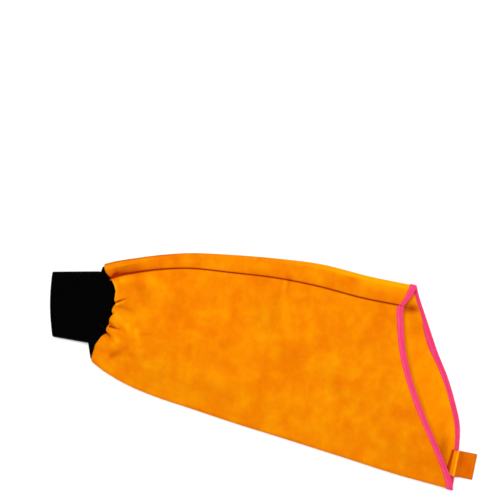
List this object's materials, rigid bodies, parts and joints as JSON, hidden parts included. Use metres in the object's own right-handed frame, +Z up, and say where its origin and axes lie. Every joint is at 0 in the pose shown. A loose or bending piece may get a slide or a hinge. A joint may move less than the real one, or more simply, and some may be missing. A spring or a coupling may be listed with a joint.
{
  "type": "welding sleeve",
  "caption": "Split-leather welding sleeve lying flat, with a lengthwise seam, a gathered knitted wrist cuff, a bound slanted mouth and a doubled shoulder tab.",
  "frame": {"origin": "on the surface that the sleeve lies on, under the middle of its outline", "axes": "+X from the wrist cuff to the mouth, +Y towards the fold beside the seam, +Z up off the surface"},
  "size_m": [0.5964, 0.3304, 0.0431],
  "materials": {
    "split_leather": "napped suede",
    "woven_tape": "woven",
    "knit": "rib knit",
    "tab_leather": "napped suede"
  },
  "bodies": {
    "root": {"leather_sleeve": "split_leather", "mouth_binding": "woven_tape", "wrist_cuff": "knit", "shoulder_tab": "tab_leather"}
  },
  "joints": []
}
